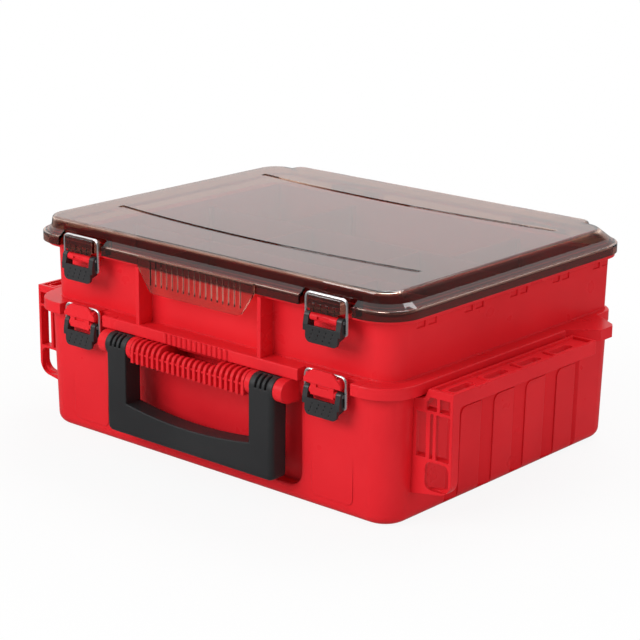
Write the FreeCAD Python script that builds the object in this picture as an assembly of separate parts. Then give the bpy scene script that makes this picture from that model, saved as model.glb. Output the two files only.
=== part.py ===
import FreeCAD, Part
import math
import os

# Two-storey portable tackle case: a deep lower bin, an upper tray hinged to its rear edge and a
# see-through lid hinged to the tray.  Four draw latches hold it shut, a slotted rack stands off
# each side and a swing handle folds down in front.
# Units are millimetres.  X runs left to right, the front faces -Y, Z is up, and the origin is
# the middle of the flat underside.  Names ending in _front are distances forward of the origin.

V = FreeCAD.Vector
UP, ACROSS, BACK = V(0, 0, 1), V(1, 0, 0), V(0, 1, 0)

# ---------------------------------------------------------------- driving dimensions
fit_gap = 0.3               # between parts that lie on or beside each other
pin_gap = 0.05              # radial running clearance of a pin
overlap = 1.0               # how far fused features run into each other

# lower bin
bin_half_x_rim, bin_half_y_rim, bin_height = 203.0, 161.2, 109.7
bin_draft_x, bin_draft_y = 1.8, 2.0
bin_half_x_foot, bin_half_y_foot = bin_half_x_rim - bin_draft_x, bin_half_y_rim - bin_draft_y
bin_corner, bin_foot_round = 23.0, 9.5
bin_wall, bin_floor = 2.6, 3.0
bay_half_x, bay_depth, bay_below_rim = 110.0, 13.2, 5.7     # handle recess
bay_floor_front, bay_high = bin_half_y_rim - bay_depth, bin_height - bay_below_rim
bay_low, bay_corner = 14.0, 14.0
latch_inset = 61.5
latch_x = bin_half_x_rim - latch_inset
panel_inward, panel_outward = 21.0, 22.5            # raised panels under the lower latches
panel_inner_x, panel_outer_x = latch_x - panel_inward, latch_x + panel_outward
panel_low, panel_below_rim, panel_rise, panel_corner = 12.0, 25.7, 1.0, 6.0
panel_high = bin_height - panel_below_rim
flute_first, flute_pitch, flute_count = -87.5, 46.3, 5
flute_width, flute_depth, flute_steep, flute_slope = 18.8, 4.6, 1.4, 13.5
flute_last_width, flute_last_slope = 7.0, 4.0       # the rearmost flute is a narrow one
flute_low, flute_below_rim = 4.0, 6.7
field_below_rim, field_corner, field_step = 28.0, 7.0, 1.2      # raised fields between flutes
flute_high, field_top = bin_height - flute_below_rim, bin_height - field_below_rim

# side racks
rack_reach, rack_gap, rack_above_rim = 38.6, 14.5, 7.3
rack_half_x, rack_inner_x = bin_half_x_rim + rack_reach, bin_half_x_rim + rack_gap
rack_top = bin_height + rack_above_rim
rack_front, rack_rear = 133.0, 68.0
rack_skin, rack_sink, rack_lip, rack_lip_height, rack_tail_drop = 2.6, 2.4, 2.6, 12.0, 34.0
rack_knee_step, rack_knee_drop, rack_root_drop = 3.6, 7.8, 11.0     # fold of the inner web
rack_knee_x = rack_inner_x - rack_knee_step
rack_knee_z, rack_root_z = rack_top - rack_knee_drop, rack_top - rack_root_drop
rack_slot_inset, rack_slot_width, rack_slot_length = 13.6, 8.0, 28.0
rack_slot_x = rack_half_x - rack_slot_inset
rack_slot_first, rack_slot_pitch, rack_slot_count = -110.3, 46.3, 4
rack_slot_corner, rack_rim_rise = 3.2, 1.5
rack_rim_inner, rack_rim_outer, rack_rim_end = 4.6, 1.6, 2.0
frame_thick, frame_return, frame_edge = 3.0, 9.0, 2.8
frame_strip, frame_shelf = 6.5, 2.4
frame_shelf_drops = (20.0, 60.0)                    # undersides of the shelves below the top
frame_shelf_high, frame_shelf_low = [rack_top - drop for drop in frame_shelf_drops]
frame_inner_bar, frame_bar_first, frame_bar_wide = 3.2, 12.7, 4.0       # out from the bin
frame_bar_second, frame_bar_narrow, frame_rib_gap, frame_rib_wide = 19.7, 3.0, 0.1, 2.9
frame_inner_bar_x = bin_half_x_rim + frame_inner_bar
frame_bars = [(bin_half_x_rim + out, bin_half_x_rim + out + wide)
              for out, wide in ((frame_bar_first, frame_bar_wide),
                                (frame_bar_second, frame_bar_narrow))]
frame_rib = [frame_bars[1][1] + out for out in (frame_rib_gap, frame_rib_gap + frame_rib_wide)]
frame_foot_inner, frame_foot_outer = 27.0, 33.0
frame_corner, frame_hole_corner, frame_hole_rise = 13.0, 6.0, 4.0

# upper tray
tray_inset_x, tray_inset_front, tray_inset_rear, tray_draft = 5.8, 7.4, 8.2, 0.8
tray_height, tray_corner, tray_rear_corner = 63.2, 19.0, 5.2
tray_wall, tray_floor = 2.4, 2.6
tray_half_x_foot = bin_half_x_rim - tray_inset_x
tray_front_foot, tray_rear_foot = bin_half_y_rim - tray_inset_front, bin_half_y_rim - tray_inset_rear
tray_half_x_rim = tray_half_x_foot + tray_draft
tray_front_rim, tray_rear_rim = tray_front_foot + tray_draft, tray_rear_foot + tray_draft
tray_foot = bin_height + fit_gap
tray_top = tray_foot + tray_height
rim_reach_x, rim_reach_front, rim_reach_rear, rim_thick = 10.3, 10.6, 12.5, 3.0
rim_half_x = tray_half_x_rim + rim_reach_x
rim_front, rim_rear = tray_front_rim + rim_reach_front, tray_rear_rim + rim_reach_rear
skirt_reach_x, skirt_reach_front, skirt_behind_x, skirt_behind_y = 7.7, 10.0, 1.2, 1.0
skirt_half_x, skirt_front = bin_half_x_rim + skirt_reach_x, bin_half_y_rim + skirt_reach_front
skirt_rear_half_x, skirt_rear = bin_half_x_rim + skirt_behind_x, bin_half_y_rim + skirt_behind_y
skirt_height, skirt_corner, skirt_wall = 10.0, 33.0, 2.8
skirt_rear_corner = bin_corner
foot_bead = 0.9
fin_x, fin_thick, fin_inset = 70.6, 4.0, 1.4
fin_front = skirt_front - fin_inset
thumb_pitch, thumb_count, thumb_rise, thumb_radius = 5.9, 13, 1.6, 1.6
ear_reach, ear_slant, ear_length = 30.2, 20.0, 18.5
ear_half_x, ear_root_y = bin_half_x_rim + ear_reach, rack_rear
ear_front_y, ear_rear_y = ear_root_y + ear_slant, ear_root_y + ear_slant + ear_length
ear_chamfer_x, ear_chamfer_y = ear_half_x - 3.5, ear_rear_y + 5.0
ear_back_x, ear_back_y, ear_end_y = ear_half_x - 14.2, ear_rear_y + 11.7, ear_rear_y + 21.5
pocket_first, pocket_pitch, pocket_count = -112.0, 62.7, 5
pocket_width, pocket_gap, pocket_depth = 10.5, 4.0, 1.2
pocket_drop, pocket_height = 13.0, 6.8
pocket_low = tray_top - pocket_drop
pocket_high = pocket_low + pocket_height

# dividers in the tray
divider_thick, divider_drop, divider_corner = 2.0, 7.2, 3.0
divider_top = tray_top - divider_drop
row_split = 51.0                                    # long dividers stand at plus and minus this
guide_rib, guide_reach = 2.0, 3.0
outer_row_cross = (-98.0, 98.0)
middle_row_cross = (-64.0, 64.0)

# lid
lid_over_x, lid_over_front, lid_over_rear = 1.7, 5.3, 2.0       # past the tray's rim
lid_half_x = rim_half_x + lid_over_x
lid_front, lid_rear = rim_front + lid_over_front, rim_rear + lid_over_rear
lid_ledge_height, lid_shoulder_height, lid_height = 8.3, 12.5, 22.1
lid_foot = tray_top + fit_gap
lid_ledge, lid_shoulder = lid_foot + lid_ledge_height, lid_foot + lid_shoulder_height
lid_top = lid_foot + lid_height
lid_corner, lid_wall, lid_skirt = 33.0, 2.6, 3.4
ledge_edge = 0.8
shoulder_step_x, shoulder_step_front, shoulder_step_rear, shoulder_corner = 7.4, 7.2, 7.3, 26.0
shoulder_half_x = lid_half_x - shoulder_step_x
shoulder_front = lid_front - shoulder_step_front
shoulder_rear = lid_rear - shoulder_step_rear
crown_step_x, crown_step_front, crown_step_rear = 4.6, 1.7, 16.0
crown_half_x = shoulder_half_x - crown_step_x
crown_front, crown_rear = shoulder_front - crown_step_front, shoulder_rear - crown_step_rear
crown_corner, crown_round = 19.0, 3.0
tongue_inset_x, tongue_inset_rear, tongue_draft, tongue_corner = 23.5, 2.5, 2.0, 10.0
tongue_half_x, tongue_rear = crown_half_x - tongue_inset_x, shoulder_rear - tongue_inset_rear
groove_inset, groove_sagitta, groove_width, groove_depth = 1.5, 12.0, 7.0, 0.9
groove_half_chord = tongue_half_x - groove_inset
groove_middles = (-103.0, 90.0)
tab_half_top, tab_half_foot, tab_drop, tab_corner = 67.0, 52.0, 21.5, 8.0
tab_proud, tab_thick = 2.3, 2.4
tab_foot, tab_front = lid_foot - tab_drop, lid_front + tab_proud
tab_rear = tab_front - tab_thick
tab_rib_pitch, tab_rib_count, tab_rib_radius, tab_rib_end, tab_rib_head = 6.5, 17, 1.7, 6.9, 0.4
tab_rib_low, tab_rib_high = tab_foot + tab_rib_end, lid_ledge - tab_rib_head

# draw latches: a lever on the lower part, a wire bail that pulls on the upper part
notch_half_x, notch_depth = 27.5, 8.3
pivot_proud, wire_behind_pivot = 8.3, 1.0
pivot_front = bin_half_y_rim + pivot_proud          # lever pivot, and plane of the closed wire
notch_floor, wire_front = lid_front - notch_depth, pivot_front - wire_behind_pivot
wire_radius, wire_gap = 1.3, 0.08
upper_pivot_drop, lower_pivot_drop, bail_drop = 6.3, 3.3, 10.0
upper_pivot_z, lower_pivot_z = tray_top - upper_pivot_drop, bin_height - lower_pivot_drop
upper_bar_rise, lower_bar_rise = 11.8, 11.9         # of the wire's cross bar over the seam
upper_bar_z, lower_bar_z = lid_foot + upper_bar_rise, tray_foot + lower_bar_rise
leg_half, bail_bend, bail_curl = 21.2, 5.0, 1.6
barrel_radius, barrel_half = 3.4, 13.9
barrel_slot_half, barrel_slot_height, barrel_slot_depth = 6.2, 2.4, 1.4
lever_half, ear_inner, ear_outer, lever_eye = 17.0, 14.5, 19.5, 3.7
lever_proud, lever_behind, lever_plate = 5.0, 3.2, 2.2
lever_front, lever_rear = pivot_front + lever_proud, pivot_front - lever_behind
lever_foot_drop, lever_face_drop, lever_heel_drop, lever_corner = 20.6, 6.6, 13.4, 5.0
dimple_radius, dimple_depth, dimple_rows, dimple_columns, dimple_shift = 0.9, 0.5, 3, 4, 1.6
lever_pin_radius, lever_pin_proud = 1.5, 0.3
catch_half, catch_apron_half, catch_proud, catch_drop = 17.0, 13.9, 1.9, 2.2
catch_front, catch_foot = lid_front + catch_proud, lid_foot - catch_drop
catch_lip, catch_lip_rise, catch_rib_count, catch_rib_radius, catch_rib_height = 1.2, 0.9, 4, 1.2, 7.0
keeper_top_half, keeper_half, keeper_stem_half = 10.4, 19.4, 17.6
keeper_lift, keeper_side, keeper_height, keeper_proud = 2.4, 3.6, 11.8, 3.9
keeper_foot = tray_foot + keeper_lift
keeper_shoulder, keeper_top = keeper_foot + keeper_side, keeper_foot + keeper_height
keeper_front, keeper_plate, keeper_round = pivot_front + keeper_proud, 2.4, 3.0
boss_half, boss_proud = 12.1, 3.5
boss_front, boss_foot = pivot_front + boss_proud, lower_pivot_z - barrel_radius

# handle and the parts that carry it
handle_proud, handle_pivot_drop = 12.3, 10.3
handle_pivot_front, handle_pivot_z = bin_half_y_rim + handle_proud, bin_height - handle_pivot_drop
handle_inner_x, handle_outer_x = 72.5, 97.5
handle_eye, handle_behind = 10.2, 7.0
handle_back = handle_pivot_front - handle_behind
handle_reach, handle_grip, handle_sag = 78.0, 29.3, 6.2
handle_foot = handle_pivot_z - handle_reach
handle_sill = handle_foot + handle_grip
handle_corner, handle_edge = 6.0, 5.0
handle_pin_radius, handle_pin_seat = 3.0, 5.0
eye_slot_count, eye_slot_width, eye_slot_pitch, eye_slot_depth = 3, 2.6, 5.4, 2.2
lug_radius, lug_width, cheek_width = 9.9, 9.5, 5.4
comb_front, comb_top = handle_pivot_front + lug_radius, handle_pivot_z + lug_radius
comb_height, comb_round = 19.7, 9.6
comb_foot = comb_top - comb_height
comb_fin, comb_pitch, comb_count, comb_deep = 3.0, 6.15, 22, 6
comb_fin_depth, comb_core_inset, comb_core_depth, comb_plate = 7.5, 4.8, 15.6, 2.4
comb_fin_rear, comb_core_front = comb_front - comb_fin_depth, comb_front - comb_core_inset
comb_core_rear = comb_core_front - comb_core_depth
comb_dip, comb_core_drop, comb_web_drop, comb_web = 3.2, 9.3, 11.3, 1.6
comb_core_top, comb_web_z = comb_top - comb_core_drop, comb_top - comb_web_drop

# rear hinges
hinge_x, knuckle_inner, knuckle_split, knuckle_outer = 110.0, 11.5, 12.0, 30.0
bin_hinge_behind, bin_knuckle = 10.8, 5.5
bin_hinge_rear, bin_hinge_z = bin_half_y_rim + bin_hinge_behind, tray_foot
lid_hinge_behind, lid_hinge_rise, lid_knuckle = 5.7, 3.5, 5.0
lid_hinge_rear, lid_hinge_z = lid_rear + lid_hinge_behind, lid_foot + lid_hinge_rise
hinge_pin_radius = 2.0


# ---------------------------------------------------------------- shape helpers
def block(x0, x1, y0, y1, z0, z1):
    return Part.makeBox(x1 - x0, y1 - y0, z1 - z0, V(x0, y0, z0))


def bar(radius, x0, x1, y, z):
    """A round bar along X."""
    return Part.makeCylinder(radius, x1 - x0, V(x0, y, z), ACROSS)


def outline(half_x, y0, y1, radius, z, rear_radius=None):
    """A rounded rectangle at height z; radius at the front corners, rear_radius at the rear."""
    r, q = radius, radius if rear_radius is None else rear_radius
    h = math.sqrt(0.5)
    corners = [
        ((half_x - r, y0), (half_x - r + r * h, y0 + r - r * h), (half_x, y0 + r)),
        ((half_x, y1 - q), (half_x - q + q * h, y1 - q + q * h), (half_x - q, y1)),
        ((-half_x + q, y1), (-half_x + q - q * h, y1 - q + q * h), (-half_x, y1 - q)),
        ((-half_x, y0 + r), (-half_x + r - r * h, y0 + r - r * h), (-half_x + r, y0)),
    ]
    edges = []
    for i, (a, b, c) in enumerate(corners):
        edges.append(Part.Arc(V(*a, z), V(*b, z), V(*c, z)).toShape())
        edges.append(Part.makeLine(V(*c, z), V(*corners[(i + 1) % 4][0], z)))
    return Part.Wire(edges)


def tapered(low, high):
    """A solid between two outlines that have the same number of edges."""
    return Part.makeLoft([low, high], True, True)


def slab(half_x, y0, y1, radius, z0, z1, rear_radius=None):
    face = Part.Face(outline(half_x, y0, y1, radius, z0, rear_radius))
    return face.extrude(V(0, 0, z1 - z0))


def prism(points, start, length, axis):
    """Extrude a closed outline along an axis; the points give the two other coordinates."""
    place = {"x": lambda a, b: V(start, a, b), "y": lambda a, b: V(a, start, b),
             "z": lambda a, b: V(a, b, start)}[axis]
    loop = [place(a, b) for a, b in points]
    way = {"x": ACROSS, "y": BACK, "z": UP}[axis]
    return Part.Face(Part.makePolygon(loop + loop[:1])).extrude(way * length)


def round_edges(shape, radius, chosen):
    """Fillet the edges for which chosen(edge) is true."""
    edges = [e for e in shape.Edges if chosen(e)]
    return shape.makeFillet(radius, edges)


def along(edge, axis):
    """True for a straight edge parallel to an axis."""
    if edge.Curve.TypeId != "Part::GeomLine":
        return False
    return abs(abs(edge.tangentAt(edge.FirstParameter).dot(axis)) - 1) < 1e-6


def near(value, target, tolerance=0.01):
    return abs(value - target) < tolerance


def level(edge, z):
    """True for an edge that lies wholly at height z."""
    return near(edge.BoundBox.ZMax, z) and near(edge.BoundBox.ZMin, z)


def soft_block(x0, x1, y0, y1, z0, z1, radius, axis):
    """A block whose four edges along one axis are rounded."""
    return round_edges(block(x0, x1, y0, y1, z0, z1), radius, lambda e: along(e, axis))


def mirrored(shape):
    return shape.mirror(V(0, 0, 0), ACROSS)


def both_sides(shape):
    return [shape, mirrored(shape)]


def moved(shape, x):
    copy = shape.copy()
    copy.translate(V(x, 0, 0))
    return copy


def spread(first, pitch, count):
    return [first + pitch * i for i in range(count)]


def centred(pitch, count):
    return spread(-pitch * (count - 1) / 2, pitch, count)


def joined(shapes):
    return shapes[0].multiFuse(shapes[1:])


def export(shape, name):
    shape = shape.removeSplitter()
    if len(shape.Solids) == 1:
        shape = shape.Solids[0]
    shape.exportStep(os.path.join("parts", name + ".step"))


def knuckle_pair(inner, outer, radius, rear, z, web):
    """Two knuckles either side of a hinge's middle with their webs, on the right-hand hinge."""
    parts = []
    for a, b in ((-outer, -inner), (inner, outer)):
        parts.append(bar(radius, hinge_x + a, hinge_x + b, rear, z))
        parts.append(prism(web, hinge_x + a, b - a, "x"))
    return joined(parts)


def middle_knuckle(half, radius, rear, z, web):
    round_part = bar(radius, hinge_x - half, hinge_x + half, rear, z)
    return round_part.fuse(prism(web, hinge_x - half, 2 * half, "x"))


def hinge_bore(clearance, rear, z):
    reach = knuckle_outer + overlap
    return bar(hinge_pin_radius + clearance, hinge_x - reach, hinge_x + reach, rear, z)


# ---------------------------------------------------------------- lower bin
cheek_inner_x = handle_inner_x - fit_gap - cheek_width
lug_outer_x = handle_outer_x + fit_gap + lug_width


def bin_block(inset, z0, z1, foot_round):
    """The bin's drafted outer form, or its plain hollow when inset by the wall thickness."""
    solid = tapered(
        outline(bin_half_x_foot - inset, -bin_half_y_foot + inset, bin_half_y_foot - inset,
                bin_corner - inset, z0),
        outline(bin_half_x_rim - inset, -bin_half_y_rim + inset, bin_half_y_rim - inset,
                bin_corner - inset, z1))
    return round_edges(solid, foot_round, lambda e: level(e, z0))


def handle_bay(grow):
    """The recess behind the handle, grown outwards by a wall thickness."""
    return soft_block(-bay_half_x - grow, bay_half_x + grow, -boss_front, -bay_floor_front + grow,
                      bay_low - grow, bay_high + grow, bay_corner + grow, BACK)


def wall_x(z):
    """Half the bin's width at height z, which grows with the draft."""
    return bin_half_x_foot + (bin_half_x_rim - bin_half_x_foot) * z / bin_height


def flutes(grow):
    """Flutes down the right side: steep in front, then sloping out to a field's low edge."""
    starts = spread(flute_first, flute_pitch, flute_count)
    for y in starts:
        narrow = y == starts[-1]
        end = y + (flute_last_width if narrow else flute_width)
        slope = flute_last_slope if narrow else flute_slope
        deep = -flute_depth - grow
        step = 0 if narrow else -field_step
        plan = [(2 * overlap, y - grow), (deep, y + flute_steep - grow), (deep, end - slope),
                (step - grow, end + grow), (2 * overlap, end + grow)]
        rings = []
        for z in (flute_low - grow, flute_high + grow):
            loop = [V(wall_x(z) + a, b, z) for a, b in plan]
            rings.append(Part.makePolygon(loop + loop[:1]))
        yield tapered(*rings)


def field_tops(grow):
    """The shallow band over the raised fields, whose upper front corners are rounded."""
    x, top, r = wall_x(field_top) - field_step - grow, field_top - grow, field_corner - grow
    h = 1 - math.sqrt(0.5)
    starts = spread(flute_first, flute_pitch, flute_count)
    for start, following in zip(starts, starts[1:]):
        y, stop, high = start + flute_width + grow, following + flute_steep, flute_high + grow
        back = y - overlap / 2
        corner = Part.Arc(V(x, y, top - r), V(x, y + r * h, top - r * h), V(x, y + r, top))
        loop = [V(x, y + r, top), V(x, stop, top), V(x, stop, high), V(x, back, high),
                V(x, back, top - r), V(x, y, top - r)]
        band = Part.Face(Part.Wire([corner.toShape()] + Part.makePolygon(loop).Edges))
        yield band.extrude(ACROSS * (field_step + grow + 2 * overlap))


def guard_comb():
    """The ribbed guard between the handle's arms: fins with a rounded top over a hollow core."""
    wall_y = -bay_floor_front + overlap
    parts = []
    for i, x in enumerate(centred(comb_pitch, comb_count)):
        deep = min(i, comb_count - 1 - i) < comb_deep
        rear = wall_y if deep else -comb_fin_rear
        top = comb_top if deep else comb_top - comb_dip
        soft = comb_round if deep else comb_front - comb_fin_rear - overlap
        fin = block(x - comb_fin / 2, x + comb_fin / 2, -comb_front, rear, comb_foot, top)
        fin = round_edges(fin, soft, lambda e: along(e, ACROSS)
                          and near(e.CenterOfMass.y, -comb_front) and near(e.CenterOfMass.z, top))
        if deep:
            fin = fin.cut(block(x - comb_fin, x + comb_fin, -comb_core_rear, rear + overlap,
                                comb_foot - overlap, comb_foot + comb_plate))
        parts.append(fin)
    core = block(-cheek_inner_x, cheek_inner_x, -comb_core_front, -comb_core_rear,
                 comb_foot, comb_core_top)
    core = core.cut(block(-cheek_inner_x + comb_plate, cheek_inner_x - comb_plate,
                          -comb_core_front + comb_plate, -comb_core_rear - comb_plate,
                          comb_foot - overlap, comb_core_top - comb_plate))
    parts.append(core)
    parts.append(block(-cheek_inner_x, cheek_inner_x, -comb_front + overlap, -comb_core_front
                       + overlap, comb_web_z, comb_web_z + comb_web))
    parts.append(block(-cheek_inner_x, cheek_inner_x, -comb_core_rear - overlap, wall_y,
                       comb_foot + comb_plate, comb_foot + 2 * comb_plate))
    return parts


def handle_lug(x0, x1):
    """A round lug that stands out from the recess floor and carries one end of a handle pin."""
    round_part = bar(lug_radius, x0, x1, -handle_pivot_front, handle_pivot_z)
    return round_part.fuse(block(x0, x1, -handle_pivot_front, -bay_floor_front + overlap,
                                 handle_pivot_z - lug_radius, handle_pivot_z + lug_radius))


def latch_boss():
    """The flat-faced boss of a lower latch with the barrel that its lever turns on."""
    top = keeper_foot - fit_gap
    flat = block(-boss_half, boss_half, -boss_front, -bin_half_y_rim - fit_gap, boss_foot, top)
    root = block(-boss_half, boss_half, -bin_half_y_rim - overlap, -bin_half_y_foot, boss_foot,
                 bin_height)
    barrel = bar(barrel_radius, -barrel_half, barrel_half, -pivot_front, lower_pivot_z)
    boss = joined([flat, root, barrel])
    boss = boss.cut(block(-barrel_slot_half, barrel_slot_half, -boss_front - overlap,
                          -boss_front + barrel_slot_depth, top - barrel_slot_height,
                          top + overlap))
    return boss.cut(lever_bore(lower_pivot_z))


def lever_bore(pivot_z):
    reach = barrel_half + overlap
    return bar(lever_pin_radius, -reach, reach, -pivot_front, pivot_z)


def handle_pin(side):
    x0 = handle_inner_x - fit_gap - handle_pin_seat
    x1 = handle_outer_x + fit_gap + handle_pin_seat
    a, b = sorted((side * x0, side * x1))
    return bar(handle_pin_radius, a, b, -handle_pivot_front, handle_pivot_z)


def make_bin():
    body = bin_block(0, 0, bin_height, bin_foot_round)
    raised = soft_block(panel_inner_x, panel_outer_x, -bin_half_y_foot - panel_rise,
                        -bin_half_y_foot + bin_wall, panel_low, panel_high, panel_corner, BACK)
    body = body.multiFuse(both_sides(raised))
    cuts = [handle_bay(0)]
    keep = [handle_bay(bin_wall)]
    for groove in list(flutes(0)) + list(field_tops(0)):
        cuts += both_sides(groove)
    for groove in list(flutes(bin_wall)) + list(field_tops(bin_wall)):
        keep += both_sides(groove)
    body = body.cut(joined(cuts))
    hollow = bin_block(bin_wall, bin_floor, bin_height + overlap, bin_foot_round - bin_wall)
    hollow = hollow.cut(joined(keep))
    fittings = guard_comb()
    for x0, x1 in ((cheek_inner_x, handle_inner_x - fit_gap),
                   (handle_outer_x + fit_gap, lug_outer_x)):
        fittings += both_sides(handle_lug(x0, x1))
    fittings += both_sides(moved(latch_boss(), latch_x))
    web = [(bin_half_y_foot, bin_hinge_z - 3 * bin_knuckle),
           (bin_hinge_rear, bin_hinge_z - bin_knuckle), (bin_hinge_rear, bin_height - fit_gap),
           (bin_half_y_foot, bin_height - fit_gap)]
    knuckles = knuckle_pair(knuckle_split, knuckle_outer, bin_knuckle, bin_hinge_rear,
                            bin_hinge_z, web)
    knuckles = knuckles.cut(hinge_bore(0, bin_hinge_rear, bin_hinge_z))
    fittings += both_sides(knuckles)
    body = body.multiFuse(fittings)
    body = body.cut(handle_pin(1).fuse(handle_pin(-1)))
    return body.cut(hollow)


# ---------------------------------------------------------------- side racks
def rack_web(thick):
    """The section that joins the rack's top plate to the bin, dropping under the tray's skirt."""
    inner = bin_half_x_foot - overlap
    return [(inner, rack_root_z), (rack_knee_x, rack_knee_z), (rack_inner_x, rack_top),
            (rack_inner_x + thick, rack_top), (rack_inner_x + thick, rack_top - rack_sink - thick),
            (rack_knee_x + thick, rack_knee_z - thick), (inner, rack_root_z - thick)]


def rack_frame():
    """The ladder at the rack's front end, standing square to the bin's side."""
    front, inner, outer = -rack_front, bin_half_x_foot - overlap, rack_half_x
    edge = outer - frame_edge
    corner_z = frame_foot_outer + frame_corner
    section = [(inner, rack_root_z), (rack_knee_x, rack_knee_z), (rack_inner_x, rack_top),
               (outer, rack_top), (outer, corner_z), (outer, frame_foot_outer),
               (inner, frame_foot_inner - 1)]
    plate = prism(section, front, frame_thick, "y")
    plate = round_edges(plate, frame_corner, lambda e: along(e, BACK)
                        and near(e.CenterOfMass.x, outer)
                        and near(e.CenterOfMass.z, frame_foot_outer))
    back = front + frame_thick
    deep = prism(section, back - overlap, frame_return - frame_thick + overlap, "y")
    deep = round_edges(deep, frame_corner, lambda e: along(e, BACK)
                       and near(e.CenterOfMass.x, outer)
                       and near(e.CenterOfMass.z, frame_foot_outer))
    t = frame_edge
    hollow = prism([(inner - t, rack_root_z - t), (rack_knee_x, rack_root_z - t),
                    (rack_inner_x + t, rack_top - t), (edge, rack_top - t),
                    (edge, frame_foot_outer + t), (inner - t, frame_foot_inner + t - 1)],
                   back - 2 * overlap, frame_return + 3 * overlap, "y")
    hollow = round_edges(hollow, frame_corner - t, lambda e: along(e, BACK)
                         and near(e.CenterOfMass.x, edge)
                         and near(e.CenterOfMass.z, frame_foot_outer + t))
    shelves = [block(inner, outer - overlap, front, front + frame_return, z, z + frame_shelf)
               for z in (frame_shelf_low, frame_shelf_high)]
    frame = joined([plate, deep.cut(hollow)] + shelves)
    strip = rack_top - frame_strip
    low, high = frame_shelf_low + frame_shelf, frame_shelf_high
    above = frame_shelf_high + frame_shelf
    wide = [(frame_inner_bar_x, frame_bars[0][0], low, high),
            (frame_bars[0][1], frame_bars[1][0], low, high), (frame_bars[1][1], edge, low, high),
            (frame_bars[0][0], frame_rib[0], above, strip), (frame_rib[1], edge, above, strip)]
    gaps = [block(x0, x1, front - overlap, back + overlap, z0, z1) for x0, x1, z0, z1 in wide]
    hole_foot = frame_foot_outer + frame_hole_rise - 4
    hole = soft_block(frame_bars[0][0], edge, front - overlap, back + overlap, hole_foot,
                      frame_shelf_low, frame_hole_corner, BACK)
    return frame.cut(joined(gaps + [hole]))


def make_rack():
    """Right-hand rack: a slotted trough with a folded inner web and two end frames."""
    length = rack_front + rack_rear
    plate_top = rack_top - rack_sink
    plate = block(rack_inner_x, rack_half_x, -rack_front, rack_rear, plate_top - rack_skin,
                  plate_top)
    lip = block(rack_half_x - rack_lip, rack_half_x, -rack_front, rack_rear,
                rack_top - rack_lip_height, rack_top)
    web = prism(rack_web(rack_skin), -rack_front, length, "y")
    tail = prism([(bin_half_x_foot - overlap, rack_root_z), (rack_knee_x, rack_knee_z),
                  (rack_inner_x, rack_top), (rack_half_x, rack_top),
                  (rack_half_x, rack_top - rack_lip_height),
                  (bin_half_x_foot - overlap, rack_top - rack_tail_drop)],
                 rack_rear - rack_skin, rack_skin, "y")
    slot_end = rack_slot_x + rack_slot_width
    rims, holes = [], []
    for y in spread(rack_slot_first, rack_slot_pitch, rack_slot_count):
        a, b = y - rack_slot_length / 2, y + rack_slot_length / 2
        rim = soft_block(rack_slot_x - rack_rim_inner, slot_end + rack_rim_outer,
                         a - rack_rim_end, b + rack_rim_end, plate_top - rack_skin,
                         plate_top + rack_rim_rise, rack_slot_corner, UP)
        rims.append(rim.makeChamfer(rack_rim_rise / 2, [e for e in rim.Edges if
                                                       level(e, plate_top + rack_rim_rise)]))
        holes.append(soft_block(rack_slot_x, slot_end, a, b, rack_top - rack_lip_height,
                                rack_top + 2 * rack_rim_rise, rack_slot_corner, UP))
    trough = block(rack_inner_x + rack_skin, rack_half_x - rack_lip, -rack_front + frame_thick,
                   rack_rear - rack_skin, plate_top, rack_top + overlap)
    rack = joined([plate, lip, web, tail, rack_frame()]).cut(trough)
    rack = joined([rack] + rims).cut(joined(holes))
    return rack.cut(bin_block(0, 0, bin_height, bin_foot_round))


# ---------------------------------------------------------------- upper tray
def tray_block(inset, z0, z1):
    return tapered(
        outline(tray_half_x_foot - inset, -tray_front_foot + inset, tray_rear_foot - inset,
                tray_corner - inset, z0, tray_rear_corner - inset),
        outline(tray_half_x_rim - inset, -tray_front_rim + inset, tray_rear_rim - inset,
                tray_corner - inset, z1, tray_rear_corner - inset))


def keeper():
    """What a lower bail pulls on: a stem, and in front of the wire a shouldered plate."""
    points = [(-keeper_top_half, keeper_top), (-keeper_half, keeper_shoulder),
              (-keeper_half, keeper_foot), (keeper_half, keeper_foot),
              (keeper_half, keeper_shoulder), (keeper_top_half, keeper_top)]
    plate = prism(points, -keeper_front, keeper_plate, "y")
    plate = round_edges(plate, keeper_round, lambda e: along(e, BACK)
                        and e.CenterOfMass.z > keeper_foot + overlap)
    stem = block(-keeper_stem_half, keeper_stem_half, -keeper_front + overlap,
                 -tray_front_foot + overlap, keeper_foot, lower_bar_z - wire_radius - fit_gap)
    return plate.fuse(stem)


def upper_barrel():
    """The slotted barrel on the tray's front wall that an upper latch's lever turns on."""
    face = -pivot_front - barrel_radius
    barrel = bar(barrel_radius, -barrel_half, barrel_half, -pivot_front, upper_pivot_z)
    arm = block(-barrel_half, barrel_half, -pivot_front, -tray_front_foot,
                upper_pivot_z - barrel_radius / 2, upper_pivot_z + barrel_radius / 2)
    slot = block(-barrel_slot_half, barrel_slot_half, face - overlap, face + barrel_slot_depth,
                 upper_pivot_z - barrel_slot_height / 2, upper_pivot_z + barrel_slot_height / 2)
    return barrel.fuse(arm).cut(slot).cut(lever_bore(upper_pivot_z))


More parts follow.
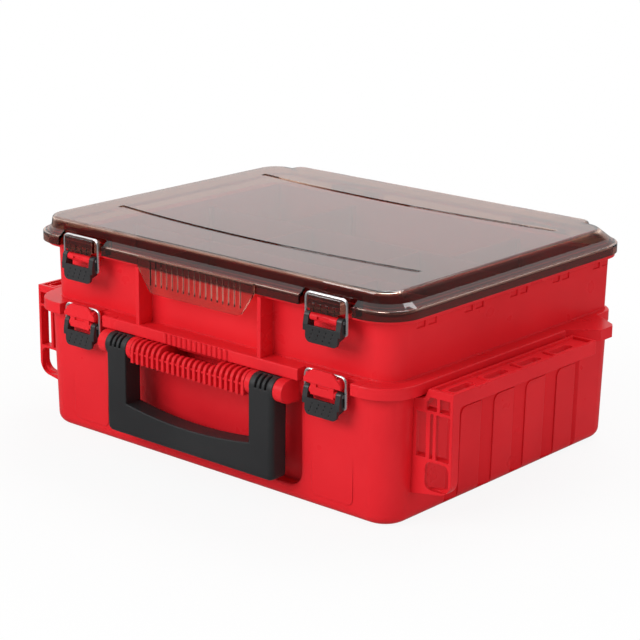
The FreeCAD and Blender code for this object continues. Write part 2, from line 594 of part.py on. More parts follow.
def wall_guides():
    """Pairs of ribs on the tray's walls that hold the ends of the dividers."""
    low, high = tray_foot + tray_floor - overlap, divider_top
    offset = divider_thick / 2 + fit_gap
    side = tray_half_x_foot - tray_wall
    front, rear = -tray_front_foot + tray_wall, tray_rear_foot - tray_wall
    ribs = []
    for y in (-row_split, row_split):
        for a in (y - offset - guide_rib, y + offset):
            ribs += both_sides(block(side - guide_reach, side + overlap, a, a + guide_rib,
                                     low, high))
    for x in outer_row_cross:
        for a in (x - offset - guide_rib, x + offset):
            ribs.append(block(a, a + guide_rib, front - overlap, front + guide_reach, low, high))
            ribs.append(block(a, a + guide_rib, rear - guide_reach, rear + overlap, low, high))
    return ribs


def tray_skirt():
    """The flange round the tray's foot, hollow beneath, notched for the lower latches."""
    top = tray_foot + skirt_height
    front = slab(skirt_half_x, -skirt_front, ear_front_y, skirt_corner, tray_foot, top, overlap)
    rear = slab(skirt_rear_half_x, 0, skirt_rear, skirt_rear_corner, tray_foot, top)
    root_x = skirt_rear_half_x - overlap
    ear = prism([(root_x, ear_root_y - overlap), (skirt_half_x, ear_root_y),
                 (ear_half_x, ear_front_y), (ear_half_x, ear_rear_y),
                 (ear_chamfer_x, ear_chamfer_y), (ear_back_x, ear_back_y), (root_x, ear_end_y)],
                tray_foot, skirt_height, "z")
    pieces = [round_edges(piece, skirt_wall / 2, lambda e: level(e, top))
              for piece in (front, rear)]
    skirt = joined(pieces + both_sides(ear))
    notch_rear = -bin_half_y_rim
    notch = block(latch_x - notch_half_x, latch_x + notch_half_x, -skirt_front - overlap,
                  notch_rear, tray_foot - overlap, top + overlap)
    relief = slab(skirt_half_x - skirt_wall, -skirt_front + skirt_wall, ear_root_y - skirt_wall,
                  skirt_corner - skirt_wall, tray_foot - overlap, top - skirt_wall, overlap)
    relief = relief.cut(slab(bin_half_x_rim + fit_gap, -bin_half_y_rim - fit_gap,
                             bin_half_y_rim + fit_gap, bin_corner, tray_foot - 2 * overlap, top))
    relief = relief.cut(joined(both_sides(
        block(latch_x - notch_half_x - skirt_wall, latch_x + notch_half_x + skirt_wall,
              -skirt_front - overlap, notch_rear, tray_foot - 2 * overlap, top))))
    return skirt.cut(joined([relief] + both_sides(notch)))


def make_tray():
    body = tray_block(0, tray_foot, tray_top)
    rim = slab(rim_half_x, -rim_front, rim_rear, lid_corner - lid_half_x + rim_half_x,
               tray_top - rim_thick, tray_top)
    bead = slab(tray_half_x_foot + foot_bead, -tray_front_foot - foot_bead,
                tray_rear_foot + foot_bead, tray_corner + foot_bead, tray_foot,
                tray_foot + skirt_height + foot_bead, tray_rear_corner + foot_bead)
    body = joined([body, rim, tray_skirt(), bead])
    floor_z = tray_foot + tray_floor
    hollow = tray_block(tray_wall, floor_z, tray_top + overlap)
    body = body.cut(round_edges(hollow, tray_floor, lambda e: level(e, floor_z)))
    extras = wall_guides()
    skirt_top = tray_foot + skirt_height
    fin = block(fin_x - fin_thick / 2, fin_x + fin_thick / 2, -fin_front, -tray_front_foot,
                skirt_top - overlap, tray_top - rim_thick + overlap)
    extras += both_sides(fin)
    extras += both_sides(moved(keeper(), latch_x))
    extras += both_sides(moved(upper_barrel(), latch_x))
    web = [(skirt_rear - overlap, bin_hinge_z + fit_gap), (bin_hinge_rear, bin_hinge_z + fit_gap),
           (bin_hinge_rear, bin_hinge_z + bin_knuckle), (skirt_rear - overlap, skirt_top - 2)]
    knuckle = middle_knuckle(knuckle_inner, bin_knuckle, bin_hinge_rear, bin_hinge_z, web)
    extras += both_sides(knuckle.cut(hinge_bore(pin_gap, bin_hinge_rear, bin_hinge_z)))
    stand = lid_hinge_rear - lid_knuckle + 2 * fit_gap
    bracket = [(tray_rear_foot, tray_top - 6 * rim_thick), (lid_hinge_rear + fit_gap,
                                                           lid_hinge_z - lid_knuckle),
               (lid_hinge_rear, lid_hinge_z), (stand, lid_hinge_z), (stand, tray_top),
               (tray_rear_foot, tray_top)]
    brackets = knuckle_pair(knuckle_split, knuckle_outer, lid_knuckle, lid_hinge_rear,
                            lid_hinge_z, bracket)
    extras += both_sides(brackets.cut(hinge_bore(0, lid_hinge_rear, lid_hinge_z)))
    for x in centred(thumb_pitch, thumb_count):
        extras.append(Part.makeCylinder(thumb_radius, skirt_height - skirt_wall / 2,
                                        V(x, -skirt_front + thumb_radius - thumb_rise,
                                          tray_foot + skirt_wall / 4), UP))
    body = body.multiFuse(extras)
    pockets = []
    half = (pocket_width + pocket_gap) / 2
    for y in spread(pocket_first, pocket_pitch, pocket_count):
        for s in (-half, half):
            pockets += both_sides(block(tray_half_x_rim - pocket_depth, tray_half_x_rim + overlap,
                                        y + s - pocket_width / 2, y + s + pocket_width / 2,
                                        pocket_low, pocket_high))
    return body.cut(joined(pockets))


# ---------------------------------------------------------------- dividers
divider_foot = tray_foot + tray_floor + fit_gap


def make_long_divider(y):
    half = tray_half_x_foot - tray_wall - fit_gap
    return soft_block(-half, half, y - divider_thick / 2, y + divider_thick / 2, divider_foot,
                      divider_top, divider_corner, BACK)


def make_cross_divider(x, y0, y1):
    return soft_block(x - divider_thick / 2, x + divider_thick / 2, y0 + fit_gap, y1 - fit_gap,
                      divider_foot, divider_top, divider_corner, ACROSS)


# ---------------------------------------------------------------- lid
def lid_groove(mid_y):
    """A shallow groove in the top that follows a long arc."""
    z, c, s, w = lid_top - groove_depth, groove_half_chord, groove_sagitta, groove_width / 2
    front = Part.Arc(V(-c, mid_y + s - w, z), V(0, mid_y - w, z), V(c, mid_y + s - w, z))
    rear = Part.Arc(V(c, mid_y + s + w, z), V(0, mid_y + w, z), V(-c, mid_y + s + w, z))
    right = Part.makeLine(V(c, mid_y + s - w, z), V(c, mid_y + s + w, z))
    left = Part.makeLine(V(-c, mid_y + s + w, z), V(-c, mid_y + s - w, z))
    loop = Part.Wire([front.toShape(), right, rear.toShape(), left])
    return Part.Face(loop).extrude(V(0, 0, groove_depth + overlap))


def lid_form(inset, ledge, shoulder, top):
    """Shoulder and crown of the lid between three heights, inset by the wall for the hollow."""
    s, soft = inset, crown_round - inset / 2
    low = outline(lid_half_x - ledge_edge - s, -lid_front + ledge_edge + s,
                  lid_rear - ledge_edge - s, lid_corner - ledge_edge - s, ledge)
    middle = outline(shoulder_half_x - s, -shoulder_front + s, shoulder_rear - s,
                     shoulder_corner - s, shoulder)
    high = outline(crown_half_x - s, -crown_front + s, crown_rear - s, crown_corner - s, top)
    tongue = tapered(
        outline(tongue_half_x + tongue_draft - s, 0, tongue_rear + tongue_draft - s,
                tongue_corner, shoulder),
        outline(tongue_half_x - s, 0, tongue_rear - s, tongue_corner, top))
    crown = round_edges(tapered(middle, high), soft, lambda e: level(e, top))
    tongue = round_edges(tongue, soft, lambda e: level(e, top) and e.CenterOfMass.y > 0)
    return joined([tapered(low, middle), crown, tongue])


def lid_catch():
    """What an upper bail pulls on: a block with a low lip in front of the wire."""
    seat = upper_bar_z - wire_radius - fit_gap
    rear = -notch_floor + overlap
    body = block(-catch_half, catch_half, -catch_front, rear, lid_foot, seat)
    lip = block(-catch_half, catch_half, -catch_front, -catch_front + catch_lip, lid_foot,
                seat + catch_lip_rise)
    apron = block(-catch_apron_half, catch_apron_half, -catch_front, -catch_front + 2 * catch_lip,
                  catch_foot, lid_foot + overlap)
    ribs = [Part.makeCylinder(catch_rib_radius, catch_rib_height,
                              V(x, -catch_front + catch_lip / 4, catch_foot), UP)
            for x in centred(2 * catch_apron_half / catch_rib_count, catch_rib_count)]
    return joined([body, lip, apron] + ribs)


def make_lid():
    flange = slab(lid_half_x, -lid_front, lid_rear, lid_corner, lid_foot, lid_ledge)
    flange = flange.makeChamfer(ledge_edge * 0.6, [e for e in flange.Edges
                                                   if level(e, lid_ledge)])
    form = lid_form(0, lid_ledge - ledge_edge, lid_shoulder, lid_top)
    tab = prism([(-tab_half_top, lid_foot), (-tab_half_foot, tab_foot),
                 (tab_half_foot, tab_foot), (tab_half_top, lid_foot), (tab_half_top, lid_ledge),
                 (-tab_half_top, lid_ledge)], -tab_front, tab_front - tab_rear, "y")
    tab = round_edges(tab, tab_corner, lambda e: along(e, BACK)
                      and near(e.CenterOfMass.z, tab_foot))
    ribs = [Part.makeCylinder(tab_rib_radius, tab_rib_high - tab_rib_low,
                              V(x, -tab_front + tab_rib_radius / 2, tab_rib_low), UP)
            for x in centred(tab_rib_pitch, tab_rib_count)]
    body = joined([flange, form, tab] + ribs)
    low, high = lid_foot - overlap, lid_shoulder + overlap
    notch = block(latch_x - notch_half_x, latch_x + notch_half_x, -lid_front - overlap,
                  -notch_floor, low, high)
    guard = block(latch_x - notch_half_x - lid_wall, latch_x + notch_half_x + lid_wall,
                  -lid_front - overlap, -notch_floor + lid_wall, low - overlap, high + lid_wall)
    body = body.cut(joined(both_sides(notch)))
    skirt_hollow = slab(lid_half_x - lid_skirt, -lid_front + lid_skirt, lid_rear - lid_skirt,
                        lid_corner - lid_skirt, low, lid_ledge - lid_wall)
    form_hollow = lid_form(lid_wall, lid_ledge - 2 * lid_wall, lid_shoulder - lid_wall / 2,
                           lid_top - lid_wall)
    hollow = skirt_hollow.fuse(form_hollow)
    body = body.cut(hollow.cut(joined(both_sides(guard))))
    extras = both_sides(moved(lid_catch(), latch_x))
    web = [(lid_rear - overlap, lid_foot + fit_gap), (lid_hinge_rear, lid_hinge_z - lid_knuckle / 2),
           (lid_hinge_rear, lid_hinge_z + lid_knuckle), (lid_rear - overlap, lid_ledge - overlap)]
    knuckle = middle_knuckle(knuckle_inner, lid_knuckle, lid_hinge_rear, lid_hinge_z, web)
    extras += both_sides(knuckle.cut(hinge_bore(pin_gap, lid_hinge_rear, lid_hinge_z)))
    body = body.multiFuse(extras)
    return body.cut(joined([lid_groove(y) for y in groove_middles]))


# ---------------------------------------------------------------- latches
def make_lever(pivot_z):
    """A moulded lever: a dimpled face plate between two cheeks with eyes at the pivot."""
    foot, face_top = pivot_z - lever_foot_drop, pivot_z - lever_face_drop
    width = ear_outer - ear_inner
    profile = [(-lever_front, face_top), (-pivot_front - lever_eye, pivot_z),
               (-pivot_front, pivot_z + lever_eye / 2), (-lever_rear, pivot_z),
               (-lever_rear, pivot_z - lever_heel_drop),
               (-lever_front + lever_plate, foot + lever_corner),
               (-lever_front, foot + lever_corner)]
    cheek = prism(profile, ear_inner, width, "x")
    cheek = cheek.fuse(bar(lever_eye, ear_inner, ear_outer, -pivot_front, pivot_z))
    face = block(-lever_half, lever_half, -lever_front, -lever_front + lever_plate, foot,
                 face_top)
    face = round_edges(face, lever_corner, lambda e: along(e, BACK)
                       and near(e.CenterOfMass.z, foot))
    lever = joined([face] + both_sides(cheek))
    trim = block(lever_half, ear_outer + overlap, -lever_front - overlap, -lever_rear + overlap,
                 foot, face_top - lever_corner)
    lever = lever.cut(joined(both_sides(trim)))
    reach = ear_outer + overlap
    lever = lever.cut(bar(lever_pin_radius + pin_gap, -reach, reach, -pivot_front, pivot_z))
    lever = lever.cut(bar(wire_radius + wire_gap, -reach, reach, -wire_front,
                          pivot_z - bail_drop))
    dimples = []
    rise = (face_top - foot) / (dimple_rows + 1)
    for row in range(dimple_rows):
        for x in centred(2 * lever_half / (dimple_columns + 1), dimple_columns):
            at_x, at_z = x + (row - 1) * dimple_shift, foot + rise * (row + 1)
            hexagon = [(at_x + dimple_radius * math.cos(math.radians(60 * i)),
                        at_z + dimple_radius * math.sin(math.radians(60 * i)))
                       for i in range(6)]
            dimples.append(prism(hexagon, -lever_front, dimple_depth, "y"))
    return lever.cut(joined(dimples))


def make_bail(pivot_z, bar_z):
    """A bent wire loop whose two tips turn inwards through the lever's cheeks."""
    y, foot = -wire_front, pivot_z - bail_drop
    leg, bend, curl = leg_half, bail_bend, bail_curl

    def turned(start, way, centre):
        disc = Part.Face(Part.Wire(Part.makeCircle(wire_radius, start, way)))
        return disc.revolve(centre, BACK * -1, 90)

    half = joined([
        bar(wire_radius, ear_inner + fit_gap, leg - curl, y, foot),
        turned(V(leg - curl, y, foot), ACROSS, V(leg - curl, y, foot + curl)),
        Part.makeCylinder(wire_radius, bar_z - bend - foot - curl, V(leg, y, foot + curl), UP),
        turned(V(leg, y, bar_z - bend), UP, V(leg - bend, y, bar_z - bend)),
        bar(wire_radius, 0, leg - bend, y, bar_z)])
    return joined(both_sides(half))


def make_lever_pin(pivot_z):
    half = ear_outer + lever_pin_proud
    return bar(lever_pin_radius, -half, half, -pivot_front, pivot_z)


# ---------------------------------------------------------------- handle
def make_handle():
    """A deep U: two flat arms with round eyes and a grip whose upper edge dips in the middle."""
    pivot_y, z = -handle_pivot_front, handle_pivot_z
    front = pivot_y - handle_eye
    body = block(-handle_outer_x, handle_outer_x, front, -handle_back, handle_foot, z)
    body = round_edges(body, handle_corner, lambda e: along(e, BACK)
                       and near(e.CenterOfMass.z, handle_foot))
    body = round_edges(body, handle_edge, lambda e: near(e.BoundBox.YMax, front)
                       and e.BoundBox.ZMin < z - 2 * handle_eye)
    body = body.fuse(bar(handle_eye, -handle_outer_x, handle_outer_x, pivot_y, z))
    half, top, y = handle_inner_x, handle_sill, front - overlap
    high = z + handle_eye + overlap
    sill = Part.Arc(V(-half, y, top), V(0, y, top - handle_sag), V(half, y, top)).toShape()
    sides = [Part.makeLine(V(half, y, top), V(half, y, high)),
             Part.makeLine(V(half, y, high), V(-half, y, high)),
             Part.makeLine(V(-half, y, high), V(-half, y, top))]
    deep = pivot_y + handle_eye + overlap - y
    window = Part.Face(Part.Wire([sill] + sides)).extrude(V(0, deep, 0))
    body = body.cut(window)
    reach = handle_outer_x + overlap
    cuts = [bar(handle_pin_radius + pin_gap, -reach, reach, pivot_y, z)]
    for x in centred(eye_slot_pitch, eye_slot_count):
        middle = (handle_inner_x + handle_outer_x) / 2 + x
        ring = bar(handle_eye + overlap, middle - eye_slot_width / 2,
                   middle + eye_slot_width / 2, pivot_y, z)
        ring = ring.cut(bar(handle_eye - eye_slot_depth, middle - eye_slot_width,
                            middle + eye_slot_width, pivot_y, z))
        quarter = block(middle - eye_slot_width, middle + eye_slot_width, front - 2 * overlap,
                        pivot_y, z, high)
        cuts += both_sides(ring.common(quarter))
    return body.cut(joined(cuts))


# ---------------------------------------------------------------- write the parts
os.makedirs("parts", exist_ok=True)
export(make_bin(), "lower_bin")
rack = make_rack()
tray = make_tray()
export(tray, "upper_tray")
export(make_lid(), "lid")
export(make_handle(), "carry_handle")
bin_hinge_pin = bar(hinge_pin_radius, hinge_x - knuckle_outer, hinge_x + knuckle_outer,
                    bin_hinge_rear, bin_hinge_z)
lid_hinge_pin = bar(hinge_pin_radius, hinge_x - knuckle_outer, hinge_x + knuckle_outer,
                    lid_hinge_rear, lid_hinge_z)
for side, hand in ((1, "_right"), (-1, "_left")):
    export(rack if side > 0 else mirrored(rack), "rack" + hand)
    export(handle_pin(side), "handle_pin" + hand)
    for pivot_z, bar_z, name in ((upper_pivot_z, upper_bar_z, "lid"),
                                 (lower_pivot_z, lower_bar_z, "tray")):
        export(moved(make_lever(pivot_z), side * latch_x), name + "_lever" + hand)
        export(moved(make_bail(pivot_z, bar_z), side * latch_x), name + "_bail" + hand)
        export(moved(make_lever_pin(pivot_z), side * latch_x), name + "_lever_pin" + hand)
    for pin, name in ((bin_hinge_pin, "tray_hinge_pin"), (lid_hinge_pin, "lid_hinge_pin")):
        export(pin if side > 0 else mirrored(pin), name + hand)

half_divider = divider_thick / 2
export(make_long_divider(-row_split), "tray_divider_long_front")
export(make_long_divider(row_split), "tray_divider_long_rear")
rows = ((outer_row_cross, -tray_front_foot + tray_wall, -row_split - half_divider),
        (middle_row_cross, -row_split + half_divider, row_split - half_divider),
        (outer_row_cross, row_split + half_divider, tray_rear_foot - tray_wall))
number = 0
for places, y0, y1 in rows:
    for x in places:
        number += 1
        export(make_cross_divider(x, y0, y1), "tray_divider_cross_%d" % number)
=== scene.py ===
import bmesh
import bpy
from mathutils import Matrix, Vector

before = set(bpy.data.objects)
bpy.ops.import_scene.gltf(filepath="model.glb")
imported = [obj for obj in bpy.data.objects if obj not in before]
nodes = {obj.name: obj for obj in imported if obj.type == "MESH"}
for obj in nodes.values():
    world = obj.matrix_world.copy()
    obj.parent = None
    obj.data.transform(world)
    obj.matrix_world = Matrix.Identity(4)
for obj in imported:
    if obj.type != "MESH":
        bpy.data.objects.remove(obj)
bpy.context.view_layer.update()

# ---------------------------------------------------------------- studio
# A pale paper floor under the case, a white surround and three soft lamps: a large one at the
# front left, a weaker one at the right and one above and behind the lid. What a glossy skin
# mirrors is darker than the paper itself, so that the plastic keeps its depth.

white = (1, 1, 1, 1)


def node(tree, kind, inputs=None, **settings):
    """Adds a shader node; an input is set to a constant or linked to another node's output."""
    made = tree.nodes.new("ShaderNode" + kind)
    for setting, value in settings.items():
        setattr(made, setting, value)
    for socket, value in (inputs or {}).items():
        if isinstance(value, bpy.types.NodeSocket):
            tree.links.new(value, made.inputs[socket])
        else:
            made.inputs[socket].default_value = value
    return made


def combine(tree, operation, *values, **settings):
    """Takes the values together by one operation, from the first to the last."""
    total = values[0]
    for value in values[1:]:
        total = node(tree, "Math", {0: total, 1: value}, operation=operation, **settings).outputs[0]
    return total


def span(tree, value, start, end, low=0.0, high=1.0, curve="LINEAR"):
    """Runs from low to high while the value runs from start to end, and holds beyond them."""
    return node(tree, "MapRange", {"Value": value, "From Min": start, "From Max": end,
                                   "To Min": low, "To Max": high},
                interpolation_type=curve).outputs["Result"]


def blend(tree, factor, first, second, **settings):
    return node(tree, "Mix", {"Factor": factor, "A": first, "B": second},
                **settings).outputs["Result"]


def seen_directly(tree):
    """1 for rays that show the surround itself, in the lens, in gloss or through the lid."""
    path = node(tree, "LightPath").outputs
    return combine(tree, "MAXIMUM", path["Is Camera Ray"], path["Is Glossy Ray"],
                   path["Is Transmission Ray"])


def mirrored(tree):
    """1 for rays that a glossy skin throws back, 0 for those that pass through the lid."""
    path = node(tree, "LightPath").outputs
    return combine(tree, "SUBTRACT", path["Is Glossy Ray"], path["Is Transmission Ray"],
                   use_clamp=True)


world = bpy.data.worlds.new("surround")
bpy.context.scene.world = world
world.use_nodes = True
sky = world.node_tree
sky.nodes.clear()
ambient = node(sky, "Background", {"Color": (1.0, 0.985, 0.97, 1), "Strength": 0.44})
softbox_direction = (-0.50, 0.30, 0.81)
facing = node(sky, "VectorMath", {0: node(sky, "TexCoord").outputs["Generated"],
                                  1: softbox_direction}, operation="DOT_PRODUCT")
softbox = span(sky, facing.outputs["Value"], start=0.10, end=0.72, low=0.10, high=1.0,
               curve="SMOOTHSTEP")
paper = node(sky, "Background", {"Color": white,
                                 "Strength": blend(sky, mirrored(sky), first=1.0,
                                                   second=softbox)})
surround = node(sky, "MixShader", {0: seen_directly(sky), 1: ambient.outputs[0],
                                   2: paper.outputs[0]})
node(sky, "OutputWorld", {"Surface": surround.outputs[0]})


def new_material(name):
    """An empty node material: returns it, its node tree and its output node."""
    material = bpy.data.materials.new(name)
    material.use_nodes = True
    tree = material.node_tree
    tree.nodes.clear()
    return material, tree, node(tree, "OutputMaterial")


floor_half_side, gap_under_feet = 6.0, 0.0004
floor_mesh = bmesh.new()
bmesh.ops.create_grid(floor_mesh, x_segments=8, y_segments=8, size=floor_half_side)
bmesh.ops.translate(floor_mesh, verts=floor_mesh.verts, vec=(0, 0, -gap_under_feet))
floor_data = bpy.data.meshes.new("floor")
floor_mesh.to_mesh(floor_data)
floor = bpy.data.objects.new("floor", floor_data)
bpy.context.scene.collection.objects.link(floor)
floor_material, tree, out = new_material("floor_paper")
where = node(tree, "TexCoord").outputs["Object"]
grain = node(tree, "TexNoise", {"Vector": where, "Scale": 40.0})
shade = node(tree, "ValToRGB", {"Fac": grain.outputs["Fac"]})
shade.color_ramp.elements[0].color = (0.78, 0.78, 0.78, 1)
shade.color_ramp.elements[1].color = (0.80, 0.80, 0.80, 1)
matt = node(tree, "BsdfDiffuse", {"Color": shade.outputs["Color"]})
mirrored_paper = 0.22
lift = node(tree, "Emission", {"Color": white,
                               "Strength": blend(tree, mirrored(tree), first=1.0,
                                                 second=mirrored_paper)})
reach = node(tree, "VectorMath", {0: where}, operation="LENGTH").outputs["Value"]
past_shadow = span(tree, reach, start=0.20, end=0.58, low=0.90, high=1.0, curve="SMOOTHSTEP")
both = node(tree, "MixShader", {0: combine(tree, "MULTIPLY", past_shadow, seen_directly(tree)),
                                1: matt.outputs[0], 2: lift.outputs[0]})
tree.links.new(both.outputs[0], out.inputs["Surface"])
floor_data.materials.append(floor_material)


def soft_lamp(name, place, aim, size, power):
    data = bpy.data.lights.new(name, "AREA")
    data.shape = "RECTANGLE"
    data.size, data.size_y = size
    data.energy = power
    lamp = bpy.data.objects.new(name, data)
    turn = (Vector(place) - Vector(aim)).to_track_quat("Z", "Y")
    lamp.matrix_world = Matrix.Translation(place) @ turn.to_matrix().to_4x4()
    bpy.context.scene.collection.objects.link(lamp)
    return lamp


mid_case, near_lid = (0, 0, 0.1), (0, 0, 0.15)
key = soft_lamp("key_lamp", (-0.8, -2.2, 1.25), mid_case, size=(1.6, 1.2), power=39)
key.visible_transmission = False
side = soft_lamp("side_lamp", (2.4, 0.1, 1.0), mid_case, size=(1.2, 1.2), power=11)
side.visible_glossy = side.visible_transmission = False
soft_lamp("top_lamp", (-0.2, 1.2, 2.2), near_lid, size=(1.8, 0.9), power=26)

# ---------------------------------------------------------------- camera
# A long lens, about one and a half metres off the front right corner, that looks down by some
# sixteen degrees, so that the front, the right side and the lid all show.

camera_data = bpy.data.cameras.new("camera")
camera_data.sensor_width = 36.0
camera_data.lens = 108.37
camera_data.clip_start, camera_data.clip_end = 0.05, 50.0
camera = bpy.data.objects.new("camera", camera_data)
camera.matrix_world = Matrix((
    (0.75666, -0.18984, 0.62563, 1.0852),
    (0.65369, 0.20423, -0.72868, -1.2753),
    (0.01056, 0.96032, 0.27865, 0.5876),
    (0, 0, 0, 1)))
bpy.context.scene.collection.objects.link(camera)
bpy.context.scene.camera = camera
bpy.context.scene.view_settings.view_transform = "Standard"

# ---------------------------------------------------------------- red mouldings
# The bin, the tray and the two racks are injection-moulded polypropylene in one red: a satin
# skin with a faint orange-peel, slightly uneven in colour and gloss where the plastic flowed.
# The mould runs softly into the handle's recess, so its edge is rounded far more than the rest.


def noise(tree, where, scale, detail=2.0):
    made = node(tree, "TexNoise", {"Vector": where, "Scale": scale, "Detail": detail})
    return made.outputs["Fac"]


def uneven(tree, where, scale, detail, low=0.0, high=1.0):
    """Wanders between low and high over the surface; most of a noise lies from 0.3 to 0.7."""
    return span(tree, noise(tree, where, scale, detail), start=0.3, end=0.7, low=low, high=high)


def blend_colours(tree, factor, first, second, **settings):
    return blend(tree, factor, first, second, data_type="RGBA", **settings)


def rounded(tree, radius):
    """Normals that round the edges off by this radius."""
    return node(tree, "Bevel", {"Radius": radius}, samples=6).outputs["Normal"]


def axes(tree, where):
    """The distance from the middle to either side, the distance back, and the height."""
    along = node(tree, "SeparateXYZ", {0: where}).outputs
    sideways = node(tree, "Math", {0: along["X"]}, operation="ABSOLUTE").outputs[0]
    return sideways, along["Y"], along["Z"]


def moulded(name, dark, light, roughness, peel_scale, peel, edge, specular):
    """Moulded plastic: flow marks in colour and gloss, a fine skin texture and soft edges, whose
    radius is one number or a function of the place on the moulding."""
    smoothest, roughest = roughness
    material, tree, out = new_material(name)
    where = node(tree, "TexCoord").outputs["Object"]
    flow = uneven(tree, where, scale=9.0, detail=3.0)
    bump = node(tree, "Bump", {
        "Strength": peel, "Distance": 0.0002, "Height": noise(tree, where, peel_scale),
        "Normal": rounded(tree, edge(tree, where) if callable(edge) else edge)})
    skin = node(tree, "BsdfPrincipled", {
        "Base Color": blend_colours(tree, flow, (*dark, 1), (*light, 1)),
        "Roughness": uneven(tree, where, scale=31.0, detail=3.0, low=smoothest, high=roughest),
        "Specular IOR Level": specular, "Normal": bump.outputs["Normal"]})
    tree.links.new(skin.outputs[0], out.inputs["Surface"])
    return material


def dress(material, *names):
    """Puts a material on CAD nodes in place of the plain one they come with."""
    for name in names:
        data = nodes[name].data
        data.materials.clear()
        data.materials.append(material)


def recess_edge(tree, where):
    """The edge radius: large along the sides and the foot of the handle's recess, which is
    0.110 from the middle to either side and 0.014 to 0.104 high, and small elsewhere."""
    sharp_edge, soft_edge = 0.0007, 0.0055
    sideways, back, height = axes(tree, where)
    on_front = span(tree, back, start=-0.144, end=-0.146)
    over_recess = span(tree, sideways, start=0.121, end=0.116)
    off_middle = span(tree, sideways, start=0.094, end=0.100)
    below_top = span(tree, height, start=0.099, end=0.094)
    near_foot = span(tree, height, start=0.026, end=0.020)
    above_base = span(tree, height, start=0.004, end=0.008)
    sides = combine(tree, "MULTIPLY", off_middle, over_recess, below_top, on_front)
    foot = combine(tree, "MULTIPLY", over_recess, near_foot, above_base, on_front)
    return span(tree, combine(tree, "MAXIMUM", sides, foot), start=0.0, end=1.0, low=sharp_edge,
                high=soft_edge)


red = moulded("red_polypropylene", dark=(0.70, 0.014, 0.022), light=(0.80, 0.020, 0.029),
              roughness=(0.26, 0.36), peel_scale=900.0, peel=0.16, edge=recess_edge,
              specular=0.14)
dress(red, "lower_bin", "upper_tray", "rack_right", "rack_left")

# ---------------------------------------------------------------- dividers
# Two long plates and six short ones, moulded flat in the tray's plastic but a shade darker. Ribs
# on the tray's walls hold the ends that meet them.

divider_red = moulded("divider_polypropylene", dark=(0.50, 0.012, 0.018),
                      light=(0.58, 0.016, 0.022), roughness=(0.35, 0.45), peel_scale=900.0,
                      peel=0.2, edge=0.0005, specular=0.22)
dress(divider_red, *[name for name in nodes if name.startswith("tray_divider")])

# ---------------------------------------------------------------- lid
# One clear moulding tinted a warm smoke brown, polished on both faces and hinged to the tray by
# two pins at the rear. Its walls and catch blocks are painted a deeper brown, painted shade where
# light runs a long way in the plastic; its rear and left walls are painted amber, painted light
# that shines through them from behind; and the edges of its crown carry a painted glow, as where
# light runs along inside clear plastic.

smoke, tree, out = new_material("smoke_clear")
where = node(tree, "TexCoord").outputs["Object"]
sideways, _, height = axes(tree, where)
ramp_foot, ramp_top = 0.17, 0.20
rise = span(tree, height, ramp_foot, ramp_top)
# The walls' deeper tint is painted shade, the bright tint at the crown's edges a painted glow, and
# the amber painted light through the far walls.
even, painted_wall_shade, painted_edge_glow = white, (0.52, 0.38, 0.33, 1), (2.3, 2.4, 2.2, 1)
brown, skirt, painted_backlit_amber = (0.42, 0.19, 0.15, 1), (1.9, 1.05, 0.95, 1), (1.25, 0.98, 0.72, 1)


def tint_by_height(low, shoulder, wall):
    """The tint's strength from skirt to crown: low, shoulder, wall and top, and painted glow at two
    edges.
    """
    ramp = node(tree, "ValToRGB", {"Fac": rise})
    stops = ramp.color_ramp.elements
    for i, (z, value) in enumerate((
            (0.1722, low), (0.1735, shoulder), (0.1812, shoulder), (0.1816, painted_edge_glow), (0.1820, painted_edge_glow),
            (0.1824, wall), (0.1912, wall), (0.1925, even), (0.1932, even), (0.1935, painted_edge_glow),
            (0.1943, painted_edge_glow), (0.1946, wall), (0.1950, wall), (0.1954, even))):
        stop = stops[i] if i < 2 else stops.new(1.0)
        stop.position = (z - ramp_foot) / (ramp_top - ramp_foot)
        stop.color = value
    return ramp.outputs["Color"]
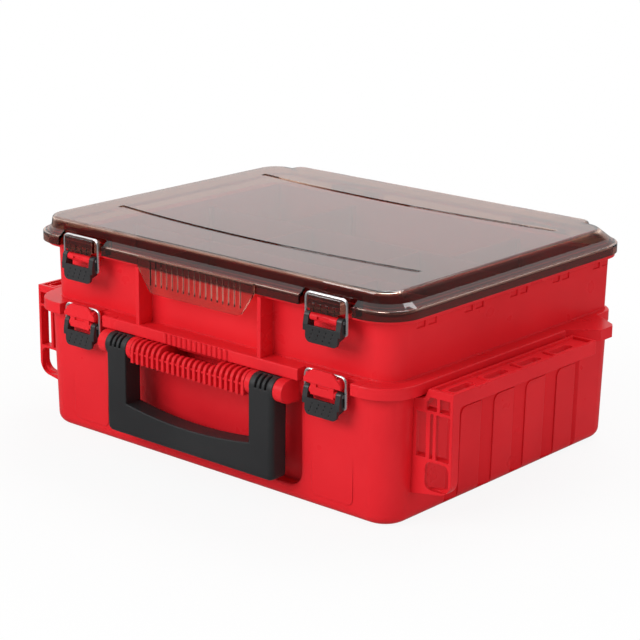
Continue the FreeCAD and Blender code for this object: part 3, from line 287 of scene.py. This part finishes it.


# Painted shade: the walls are tinted deeper, and the catch blocks keep the deeper brown down to the
# foot where the skirt is paler.
at_catches = span(tree, sideways, start=0.110, end=0.116)
near_walls = blend_colours(tree, at_catches, tint_by_height(skirt, brown, painted_wall_shade),
                           tint_by_height(brown, brown, painted_wall_shade))
# Painted light: the rear and left walls turn amber, as if lit through from behind.
rear_left = (-0.65, 0.76, 0)
rearward = node(tree, "VectorMath", {0: where, 1: rear_left}, operation="DOT_PRODUCT")
backlit_far_side = span(tree, rearward.outputs["Value"], start=0.0, end=0.04)
tint_with_painted_light = blend_colours(tree, backlit_far_side, near_walls, tint_by_height(brown, painted_backlit_amber, painted_backlit_amber))
thin = blend_colours(tree, uneven(tree, where, scale=7.0, detail=2.0),
                     (0.42, 0.29, 0.25, 1), (0.46, 0.33, 0.29, 1))
ripple = node(tree, "Bump", {"Strength": 0.05, "Distance": 0.0004,
                             "Height": noise(tree, where, scale=30.0)})
clear = node(tree, "BsdfPrincipled", {
    "Transmission Weight": 1.0, "IOR": 1.58,
    "Base Color": blend_colours(tree, 1.0, thin, tint_with_painted_light, blend_type="MULTIPLY"),
    "Roughness": uneven(tree, where, scale=60.0, detail=4.0, low=0.0, high=0.02),
    "Normal": ripple.outputs["Normal"]})
passing = node(tree, "BsdfTransparent", {"Color": (0.48, 0.36, 0.32, 1)})
pick = node(tree, "MixShader", {0: node(tree, "LightPath").outputs["Is Shadow Ray"],
                                1: clear.outputs[0], 2: passing.outputs[0]})
tree.links.new(pick.outputs[0], out.inputs["Surface"])
dress(smoke, "lid")

# ---------------------------------------------------------------- handle and levers
# The handle is a matt dark grey nylon moulding with a fine spark-eroded grain, and swings on two
# pins in the recess. The four latch levers are a smoother, blacker nylon, each on its own pin.

grey_nylon = moulded("grey_nylon", dark=(0.018, 0.0185, 0.020), light=(0.026, 0.0265, 0.028),
                     roughness=(0.42, 0.52), peel_scale=1600.0, peel=0.35, edge=0.0022,
                     specular=0.30)
dress(grey_nylon, "carry_handle")
black_nylon = moulded("black_nylon", dark=(0.020, 0.020, 0.021), light=(0.031, 0.031, 0.033),
                      roughness=(0.30, 0.40), peel_scale=1400.0, peel=0.2, edge=0.0004,
                      specular=0.5)
dress(black_nylon, "lid_lever_left", "lid_lever_right", "tray_lever_left", "tray_lever_right")

# ---------------------------------------------------------------- wire bails and pins
# Bright plated spring wire bent into loops, and plain steel pins in the levers, the hinges and
# the handle. The metal is faintly uneven in colour and gloss.

dulling = 0.86
for name, bright, (smoothest, roughest), member in (
        ("plated_wire", (0.86, 0.86, 0.87), (0.26, 0.36), "bail"),
        ("steel_rod", (0.56, 0.56, 0.57), (0.22, 0.34), "pin")):
    metal, tree, out = new_material(name)
    where = node(tree, "TexCoord").outputs["Object"]
    dull = [dulling * channel for channel in bright]
    cloud = noise(tree, where, scale=240.0, detail=4.0)
    face = node(tree, "BsdfPrincipled", {
        "Metallic": 1.0, "Base Color": blend_colours(tree, cloud, (*dull, 1), (*bright, 1)),
        "Roughness": uneven(tree, where, scale=700.0, detail=3.0, low=smoothest, high=roughest),
        "Normal": rounded(tree, radius=0.0006)})
    tree.links.new(face.outputs[0], out.inputs["Surface"])
    dress(metal, *[part for part in nodes if member in part])
